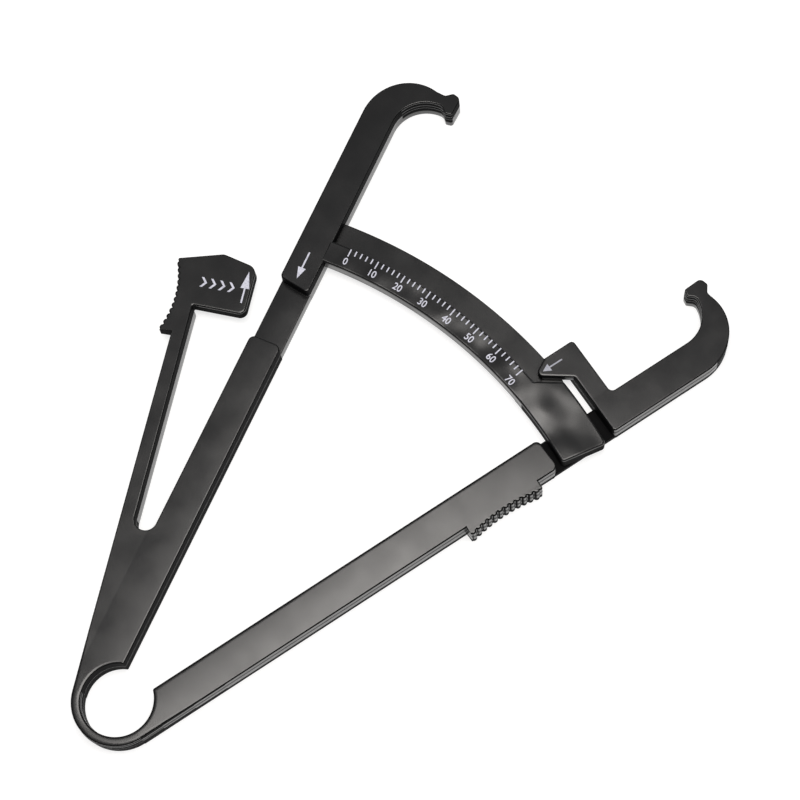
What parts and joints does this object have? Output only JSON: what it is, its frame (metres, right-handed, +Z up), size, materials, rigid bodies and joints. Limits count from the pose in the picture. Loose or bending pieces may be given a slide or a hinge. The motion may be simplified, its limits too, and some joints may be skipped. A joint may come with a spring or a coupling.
{
  "type": "skinfold caliper",
  "caption": "Moulded plastic skinfold caliper with a spring ring, hooked jaws, a curved millimetre scale read by a pointer, and a press lever that shows the clamping force.",
  "frame": {"origin": "centre of the ring hole, on the flat face the caliper rests on", "axes": "+Y midway between the arms towards the jaws, +Z up from the rest face to the printed face, +X towards the arm that carries the pointer"},
  "size_m": [0.1167, 0.1751, 0.0067],
  "materials": {
    "moulding": "black, satin moulded, edges polished by the mould",
    "print": "pale grey-white pad-printed ink"
  },
  "bodies": {
    "left_arm": {"left_root": "moulding", "left_handle": "moulding", "left_neck": "moulding", "left_jaw": "moulding", "left_hook": "moulding", "left_contact_tip": "moulding", "scale_band": "moulding", "scale_rail": "moulding", "scale_end_block": "moulding", "scale_ticks": "print", "jaw_arrow": "print", "flex_ring": "moulding"},
    "right_arm": {"right_root": "moulding", "right_handle": "moulding", "finger_grip": "moulding", "guide_bridge": "moulding", "right_jaw": "moulding", "right_hook": "moulding", "right_contact_tip": "moulding", "pointer_bracket": "moulding", "pointer_tongue": "moulding", "pointer_arrow": "print"},
    "press_lever": {"lever_flexure": "moulding", "press_blade": "moulding", "press_head": "moulding", "thumb_grip": "moulding", "press_arrow": "print"}
  },
  "joints": [
    {"name": "arm_flex", "type": "hinge", "parent": "left_arm", "child": "right_arm", "pos_m": [0, 0, 0], "axis": [0, 0, 1], "range_deg": [0, 25.5], "stiffness_Nm_per_rad": 0.33, "deforming": ["flex_ring"]},
    {"name": "lever_flex", "type": "hinge", "parent": "left_arm", "child": "press_lever", "pos_m": [-0.03261, 0.04261, 0], "axis": [0, 0, 1], "range_deg": [-13, 0], "stiffness_Nm_per_rad": 1.05, "deforming": ["lever_flexure"]}
  ]
}
